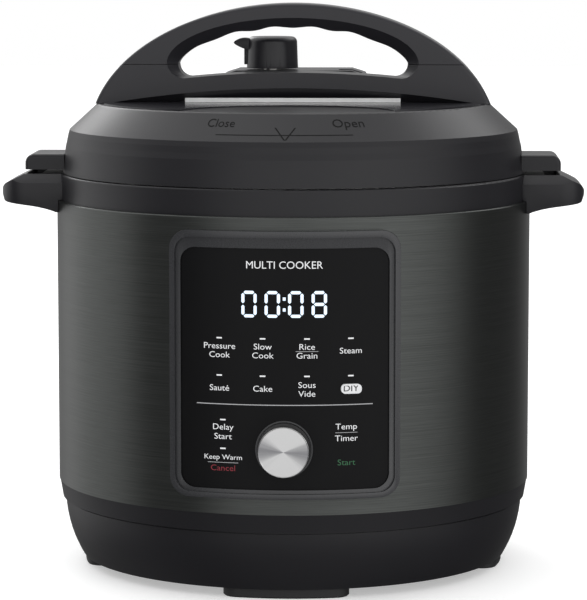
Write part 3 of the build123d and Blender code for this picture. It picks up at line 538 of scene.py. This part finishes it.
def segment(x, z, length, flat):
    """One bar of a figure: a six-sided bar with pointed ends."""
    sizes = bpy.context.scene.cooker_sizes
    piece = bar(x, z, length if flat else sizes.segment, sizes.segment if flat else length)
    along = 0 if flat else 2
    middle = (x, 0, z)
    for vertex in piece.data.vertices:
        if abs(abs(vertex.co[along] - middle[along]) - length / 2) > 0.01 * MM:
            continue
        vertex.co[along] -= (1 if vertex.co[along] > middle[along] else -1) * sizes.segment / 2
    active(piece)
    bpy.ops.object.mode_set(mode="EDIT")
    bpy.ops.mesh.select_all(action="SELECT")
    bpy.ops.mesh.dissolve_limited(angle_limit=radians(1))
    bpy.ops.object.mode_set(mode="OBJECT")
    for end in (-1, 1):
        tip(piece, along, end)
    return piece


def tip(piece, along, end):
    """Draws the end face of a bar out to a point."""
    sizes = bpy.context.scene.cooker_sizes
    active(piece)
    bpy.ops.object.mode_set(mode="EDIT")
    bpy.ops.mesh.select_all(action="DESELECT")
    bpy.ops.object.mode_set(mode="OBJECT")
    for face in piece.data.polygons:
        face.select = face.normal[along] * end > 0.9
    bpy.ops.object.mode_set(mode="EDIT")
    bpy.ops.mesh.extrude_region_move(TRANSFORM_OT_translate={
        "value": [end * sizes.segment * 0.42 if axis == along else 0 for axis in range(3)]})
    across = [1, 1, 1]
    across[2 - along] = 0.16
    bpy.ops.transform.resize(value=across)
    bpy.ops.object.mode_set(mode="OBJECT")


def printed(pieces, name, material, lift=0.06 * MM, body="base"):
    """Joins the marks, wraps them round the glass and gives them their ink."""
    mark = joined(pieces, name)
    wrap_on_glass(mark, lift)
    mark.data.materials.clear()
    paint(mark, material)
    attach(mark, body)
    return mark


# ---------------------------------------------------------------- operators, one for each group of pieces

class COOKER_OT_finishes(bpy.types.Operator):
    """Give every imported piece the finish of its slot"""
    bl_idname = "cooker.finishes"
    bl_label = "Finishes"

    def execute(self, context):
        made = finishes()
        for node, piece in NODES.items():
            paint(piece, made[SLOT_OF[node]])
        return {"FINISHED"}


class COOKER_OT_mouldings(bpy.types.Operator):
    """Round the edges of the mouldings that are seen from outside"""
    bl_idname = "cooker.mouldings"
    bl_label = "Mouldings"

    def execute(self, context):
        edge = context.scene.cooker_sizes.edge
        widths = {
            "side_handle_left": edge * 1.2, "side_handle_right": edge * 1.2, "release_knob": edge * 0.6,
            "release_cover": edge * 0.5, "panel_bezel": edge * 1.1, "inlet_socket": edge * 0.5,
            "collector_bracket": edge * 0.5, "condensation_collector": edge * 0.5,
        }
        for node, width in widths.items():
            refined(node, width)
        return {"FINISHED"}


class COOKER_OT_spring(bpy.types.Operator):
    """Put a copy of the sensor's spring in its place, riding on the sensor's body"""
    bl_idname = "cooker.spring"
    bl_label = "Sensor spring"

    def execute(self, context):
        node = "sensor_spring"
        spring = bpy.data.objects.new("live_" + node, NODES[node].data.copy())
        context.scene.collection.objects.link(spring)
        low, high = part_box(node)
        joints = frame["record"]["behaviour"]["joints"]
        press = next(joint for joint in joints if joint["name"] == "sensor_press")
        travel = max(abs(end) for end in press["range_m"])
        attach(spring, BODY_OF[node])
        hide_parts(node)
        1 - travel / (high.z - low.z)
        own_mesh(spring)
        return {"FINISHED"}


class COOKER_OT_dial(bpy.types.Operator):
    """Turn the metal dial: chamfered rim and sunk face"""
    bl_idname = "cooker.dial"
    bl_label = "Dial"

    def execute(self, context):
        rim = context.scene.cooker_sizes.dial_rim
        front = DIAL_LOW.y
        depth = DIAL_HIGH.y - DIAL_LOW.y
        bpy.ops.object.select_all(action="DESELECT")
        bpy.ops.mesh.primitive_cylinder_add(vertices=128, radius=DIAL_R, depth=depth, end_fill_type="NGON",
                                            location=(0, front + depth / 2, DIAL_Z), rotation=(pi / 2, 0, 0))
        dial = placed(bpy.context.object, "spun_dial")
        active(dial)
        bpy.ops.object.mode_set(mode="EDIT")
        bpy.ops.mesh.select_all(action="DESELECT")
        bpy.ops.object.mode_set(mode="OBJECT")
        for face in dial.data.polygons:
            face.select = face.normal.y < -0.9
        bpy.ops.object.mode_set(mode="EDIT")
        # the bright chamfer, a fine step, then the spun face
        bpy.ops.transform.resize(value=((DIAL_R - rim * 0.75) / DIAL_R, 1, (DIAL_R - rim * 0.75) / DIAL_R),
                                 center_override=(0, front, DIAL_Z))
        bpy.ops.mesh.inset(thickness=0.35 * MM)
        bpy.ops.mesh.extrude_region_move(TRANSFORM_OT_translate={"value": (0, 0.35 * MM, 0)})
        bpy.ops.mesh.inset(thickness=0.3 * MM)
        bpy.ops.mesh.inset(thickness=6 * MM)
        bpy.ops.mesh.inset(thickness=3.5 * MM)
        bpy.ops.object.mode_set(mode="OBJECT")
        # the chamfer runs back along the side
        for vertex in dial.data.vertices:
            away = sqrt(vertex.co.x ** 2 + (vertex.co.z - DIAL_Z) ** 2)
            if away > DIAL_R - 0.01 * MM and vertex.co.y < front + 0.01 * MM:
                vertex.co.y += rim
        modified(dial, "BEVEL", width=0.22 * MM, segments=2, limit_method="ANGLE", angle_limit=radians(25))
        active(dial)
        bpy.ops.object.shade_smooth_by_angle(angle=radians(20))
        paint(dial, NODES["dial_knob"].data.materials[0])
        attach(dial, "dial")
        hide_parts("dial_knob")
        return {"FINISHED"}


# degrees round the glass: the four key columns, and the two lower keys
COLUMNS = (-14.7, -4.8, 5.1, 15.0)
LEFT_KEY, RIGHT_KEY = -13.9, 14.0
LABEL_STRETCH = 1.13

# how bright the room is at each turn round the cooker (0 is the camera's side, + is to its right)
WINDOWS = ((-180, 0.20), (-155, 0.12), (-132, 0.58), (-104, 0.68), (-88, 0.58), (-74, 0.06), (-46, 0.06),
           (-34, 0.50), (-20, 0.78), (0, 0.75), (35, 1.0), (55, 0.90), (72, 0.68), (84, 0.40), (98, 0.04),
           (140, 0.03), (168, 0.14), (180, 0.20))
CEILING = ((-180, 0.90), (-120, 1.0), (-60, 0.75), (-20, 0.34), (30, 0.34), (80, 0.60), (140, 0.70),
           (180, 0.90))


def arc_x(turn):
    """Distance round the glass of a column that is turned by some degrees."""
    return radians(turn) * GLASS_R


class COOKER_OT_panel(bpy.types.Operator):
    """Print the panel: clock, lamps, key labels and dividing lines"""
    bl_idname = "cooker.panel"
    bl_label = "Panel print"

    def execute(self, context):
        sizes = context.scene.cooker_sizes
        glow = tuple(context.scene.cooker_colours.glow)
        white = (0.78, 0.79, 0.80)
        digits_ink = lit("digit_glow", (0.20, 0.24, 0.30), glow, 1.15)
        # painted glow: the white ink of the labels, lamp bars and pill, and the grey ink of the dividing
        # lines, are printed marks given an emission
        ink = lit("white_ink_painted_glow", (0.42, 0.42, 0.43), white, 0.55)
        line_ink_painted_glow = lit("grey_ink_painted_glow", (0.30, 0.30, 0.31), (0.30, 0.30, 0.31), 0.35)
        clock_z = 162.2 * MM
        step = 12.45 * MM
        lit_bars = []
        for figure, place in zip((0, 0, 0, 8), (-1.5, -0.5, 0.5, 1.5)):
            lit_bars += digit(figure, place * step, clock_z)
        for side in (-1, 1):
            lit_bars.append(bar(0.1 * MM, clock_z + side * 2.9 * MM, 1.5 * MM, 1.7 * MM))
        printed(lit_bars, "clock_digits", digits_ink)

        size = sizes.letters
        labels = [
            (COLUMNS[0], 139.4, "Pressure", 1.0), (COLUMNS[0], 134.7, "Cook", 1.0),
            (COLUMNS[1], 139.4, "Slow", 1.0), (COLUMNS[1], 134.7, "Cook", 1.0),
            (COLUMNS[2], 139.4, "Rice", 1.0), (COLUMNS[2], 134.7, "Grain", 1.0),
            (COLUMNS[3], 137.1, "Steam", 1.0),
            (COLUMNS[0], 116.9, "Sauté", 1.0), (COLUMNS[1], 116.9, "Cake", 1.0),
            (COLUMNS[2], 119.0, "Sous", 1.0), (COLUMNS[2], 114.3, "Vide", 1.0),
            (LEFT_KEY, 95.9, "Delay", 1.0), (LEFT_KEY, 90.8, "Start", 1.0),
            (RIGHT_KEY, 96.4, "Temp", 1.0), (RIGHT_KEY, 90.1, "Timer", 1.0),
            (LEFT_KEY, 79.6, "Keep Warm", 0.84),
        ]
        words = [lettering(text, size * squeeze, arc_x(turn), z * MM, LABEL_STRETCH)
                 for turn, z, text, squeeze in labels]
        words.append(lettering("MULTI COOKER", 5.7 * MM, 0, 182.9 * MM))
        printed(words, "key_labels", ink)

        lamps = [bar(arc_x(turn), z * MM, 3.0 * MM, 0.75 * MM)
                 for z in (143.8, 123.8) for turn in COLUMNS]
        lamps += [bar(arc_x(LEFT_KEY), 99.9 * MM, 3.0 * MM, 0.75 * MM),
                  bar(arc_x(LEFT_KEY), 84.4 * MM, 3.0 * MM, 0.75 * MM)]
        printed(lamps, "lamps", ink)

        lines = [bar(0, 108.3 * MM, arc_x(40.2), 0.45 * MM),
                 bar(arc_x(COLUMNS[2]), 137.1 * MM, 12 * MM, 0.25 * MM),
                 bar(arc_x(RIGHT_KEY), 93.3 * MM, 12 * MM, 0.25 * MM),
                 bar(arc_x(LEFT_KEY), 76.8 * MM, 17 * MM, 0.25 * MM)]
        printed(lines, "divider_lines", line_ink_painted_glow)

        # painted glow: the red and green printed words are given an emission
        printed([lettering("Cancel", size, arc_x(LEFT_KEY), 73.7 * MM, LABEL_STRETCH)], "cancel_label",
                lit("red_ink_painted_glow", (0.14, 0.008, 0.016), (0.20, 0.010, 0.02), 0.45))
        printed([lettering("Start", size, arc_x(RIGHT_KEY), 77.1 * MM, LABEL_STRETCH)], "start_label",
                lit("green_ink_painted_glow", (0.008, 0.07, 0.024), (0.010, 0.085, 0.03), 0.5))
        self.pill(ink)
        return {"FINISHED"}

    def pill(self, ink):
        """The white pill of the last key, with its word in black; both printed inks are given a painted glow,
        the black one very faint.
        """
        z = 116.9 * MM
        x = arc_x(COLUMNS[3])
        plate = bar(x, z, 10.8 * MM, 5.0 * MM)
        active(plate)
        bpy.ops.object.mode_set(mode="EDIT")
        bpy.ops.mesh.select_all(action="SELECT")
        bpy.ops.mesh.dissolve_limited(angle_limit=radians(1))
        bpy.ops.mesh.select_all(action="DESELECT")
        bpy.ops.object.mode_set(mode="OBJECT")
        for side in plate.data.edges:
            ends = [plate.data.vertices[at].co for at in side.vertices]
            side.select = abs(ends[0].y - ends[1].y) > 0.01 * MM
        bpy.ops.object.mode_set(mode="EDIT")
        bpy.ops.mesh.bevel(offset=2.1 * MM, segments=6, affect="EDGES")
        bpy.ops.object.mode_set(mode="OBJECT")
        printed([plate], "own_key_pill", ink, 0.14 * MM)
        printed([lettering("DIY", 4.7 * MM, x, z, 1.15, 0.02 * MM)], "own_key_label",
                lit("black_ink_painted_glow", (0.01, 0.01, 0.01), (0.01, 0.01, 0.01), 0.1), 0.48 * MM)


class COOKER_OT_lid_marks(bpy.types.Operator):
    """Raise the open and close marks on the lid's slope"""
    bl_idname = "cooker.lid_marks"
    bl_label = "Lid marks"

    def execute(self, context):
        low_r, low_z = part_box("lid_cover")[1].x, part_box("lid_skirt")[1].z
        high_r, high_z = 111.2 * MM, LID_TOP
        grey = moulded("mark_grey", (0.0016, 0.0016, 0.0018), 0.55, 0.05, 0.12)
        marks = [lettering("Close", 8.6 * MM, -36.2 * MM, 13.6 * MM, 0.82),
                 lettering("Open", 8.6 * MM, 35.0 * MM, 13.6 * MM, 0.95),
                 bar(-0.6 * MM, 5.2 * MM, 73 * MM, 0.5 * MM)]
        # the two arms of the arrow lean out from its tip on the line
        arrow = [bar(side * 0.3 * MM, 6.1 * MM, 0.8 * MM, 9.2 * MM) for side in (-1, 1)]
        for side, arm in zip((-1, 1), arrow):
            for vertex in arm.data.vertices:
                vertex.co.x += side * (vertex.co.z - 1.5 * MM) * 0.55
        mark = joined(marks + arrow, "lid_marks")
        slope = sqrt((low_r - high_r) ** 2 + (high_z - low_z) ** 2)
        for vertex in mark.data.vertices:
            turn = vertex.co.x / (low_r - 6 * MM)
            up = vertex.co.z / slope
            away = low_r + (high_r - low_r) * up + 0.04 * MM - vertex.co.y * 0.7
            vertex.co = Vector((away * sin(turn), -away * cos(turn),
                                low_z + (high_z - low_z) * up + 0.04 * MM - vertex.co.y * 0.7))
        paint(mark, grey)
        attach(mark, "lid")
        return {"FINISHED"}


class COOKER_OT_strip(bpy.types.Operator):
    """Lay a pale strip in the slot under the handle's bar: painted light that stands in for the white
    backdrop seen through the gap under the bar and its reflection, not a seal
    """
    bl_idname = "cooker.strip"
    bl_label = "Painted light strip"

    def execute(self, context):
        low, high = LID_TOP + 0.75 * MM, LID_TOP + 3.25 * MM
        bpy.ops.object.select_all(action="DESELECT")
        bpy.ops.mesh.primitive_cube_add(size=1, location=(0, -12.5 * MM, (low + high) / 2))
        strip = bpy.context.object
        strip.scale = (121.8 * MM, 1.6 * MM, high - low)
        placed(strip, "under_bar_strip")
        modified(strip, "BEVEL", width=0.3 * MM, segments=2)
        # painted light: a near-white piece put where only the bright backdrop shows through the gap
        paint(strip, rubber("painted_light_strip", (0.93, 0.93, 0.93), 0.45))
        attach(strip, "lid")
        return {"FINISHED"}


class COOKER_OT_stage(bpy.types.Operator):
    """Set the pale floor, the soft studio light and the camera"""
    bl_idname = "cooker.stage"
    bl_label = "Stage"

    def execute(self, context):
        stage = context.scene.cooker_stage
        self.floor()
        self.camera(context, stage)
        self.world(context, stage)
        self.softbox("top_box", 0, 0.35, 1.9, (1.4, 1.2), stage.top)
        self.softbox("back_left_box", -153, 2.0, 1.15, (1.0, 0.8), stage.back * 1.6)
        self.softbox("back_right_box", 133, 1.6, 1.55, (1.3, 0.9), stage.back)
        return {"FINISHED"}

    def floor(self):
        bpy.ops.object.select_all(action="DESELECT")
        bpy.ops.mesh.primitive_plane_add(size=14, location=(0, 0, 0))
        floor = placed(bpy.context.object, "floor")
        shader = Shader("pale_floor", Specular_IOR_Level=0.2, Emission_Color=(1, 1, 1), Emission_Strength=0.4)
        soft = shader.noise(shader.place(), 3, 2)
        shader.set("Base Color", shader.blend((0.76, 0.76, 0.76), (0.80, 0.80, 0.80), soft))
        shader.set("Roughness", 0.6 + soft * 0.1)
        paint(floor, shader.material)
        floor.visible_glossy = False

    def camera(self, context, stage):
        bpy.ops.object.select_all(action="DESELECT")
        where = (stage.distance * sin(stage.azimuth), -stage.distance * cos(stage.azimuth), stage.height)
        bpy.ops.object.camera_add(location=where, rotation=(pi / 2 - stage.pitch, 0, stage.azimuth))
        camera = bpy.context.object
        camera.name = "camera"
        camera.data.lens = stage.lens
        camera.data.sensor_width = 36
        camera.data.clip_start = 0.05
        context.scene.camera = camera

    def world(self, context, stage):
        """White behind the cooker. All round it, big windows and dark gaps that shape the steel."""
        world = bpy.data.worlds.new("studio")
        world.use_nodes = True
        shader = Shader("studio_paper")
        shader.tree = world.node_tree
        output = world.node_tree.nodes["World Output"]
        paper = world.node_tree.nodes["Background"]
        paper.inputs["Color"].default_value = (1, 1, 1, 1)
        room = world.node_tree.nodes.new("ShaderNodeBackground")
        x, y, z = shader.split(shader.node("ShaderNodeTexCoord", {}, {}, "Generated"))
        # a full turn runs from 0 to 1, with the camera's side at 0.5
        turn = x.math("ARCTAN2", x, -y) / (2 * pi) + 0.5
        windows = shader.ramp(turn, *[(at / 360 + 0.5, grey) for at, grey in WINDOWS])
        low = shader.ramp(z * 0.5 + 0.5, (0.28, 0.10), (0.48, 1.0))
        high = shader.ramp(z * 0.5 + 0.5, (0.62, 0.0), (0.80, 1.0))
        ceiling = shader.ramp(turn, *[(at / 360 + 0.5, grey) for at, grey in CEILING])
        level = windows * low * (1.0 - high) * stage.windows + high * ceiling * stage.sky + stage.gaps
        shader.feed(room.inputs["Strength"], level)
        seen = shader.node("ShaderNodeLightPath", {}, {}, "Is Camera Ray")
        mixed = world.node_tree.nodes.new("ShaderNodeMixShader")
        shader.feed(mixed.inputs[0], seen)
        world.node_tree.links.new(room.outputs[0], mixed.inputs[1])
        world.node_tree.links.new(paper.outputs[0], mixed.inputs[2])
        world.node_tree.links.new(mixed.outputs[0], output.inputs["Surface"])
        bpy.data.materials.remove(shader.material)
        context.scene.world = world
        context.scene.view_settings.view_transform = "Standard"
        context.scene.view_settings.look = "None"

    def softbox(self, name, turn, away, height, size, power):
        """A rectangular light at a turn round the cooker (0 is in front), aimed at its middle."""
        angle = radians(turn)
        where = Vector((away * sin(angle), -away * cos(angle), height))
        aim = Vector((0, 0, 0.16)) - where
        bpy.ops.object.select_all(action="DESELECT")
        bpy.ops.object.light_add(type="AREA", location=where)
        lamp = bpy.context.object
        lamp.name = name
        lamp.rotation_euler = aim.to_track_quat("-Z", "Y").to_euler()
        lamp.data.shape = "RECTANGLE"
        lamp.data.size, lamp.data.size_y = size
        lamp.data.energy = power


class COOKER_PT_panel(bpy.types.Panel):
    """Lists the cooker's operators and settings"""
    bl_label = "Pressure Cooker"
    bl_space_type = "VIEW_3D"
    bl_region_type = "UI"
    bl_category = "Cooker"

    def draw(self, context):
        for step in STEPS:
            self.layout.operator(step.bl_idname)
        for group in (context.scene.cooker_sizes, context.scene.cooker_colours, context.scene.cooker_stage):
            for name in group.__annotations__:
                self.layout.prop(group, name)


STEPS = (COOKER_OT_stage, COOKER_OT_finishes, COOKER_OT_mouldings, COOKER_OT_spring, COOKER_OT_dial,
         COOKER_OT_panel, COOKER_OT_lid_marks, COOKER_OT_strip)
GROUPS = {"cooker_sizes": CookerSizes, "cooker_colours": CookerColours, "cooker_stage": CookerStage}


def register():
    for name, group in GROUPS.items():
        bpy.utils.register_class(group)
        setattr(bpy.types.Scene, name, PointerProperty(type=group))
    for kind in (*STEPS, COOKER_PT_panel):
        bpy.utils.register_class(kind)


def unregister():
    for kind in reversed((*STEPS, COOKER_PT_panel)):
        bpy.utils.unregister_class(kind)
    for name, group in GROUPS.items():
        delattr(bpy.types.Scene, name)
        bpy.utils.unregister_class(group)


def main():
    register()
    for step in STEPS:
        family, action = step.bl_idname.split(".")
        getattr(getattr(bpy.ops, family), action)()


if __name__ == "__main__":
    main()
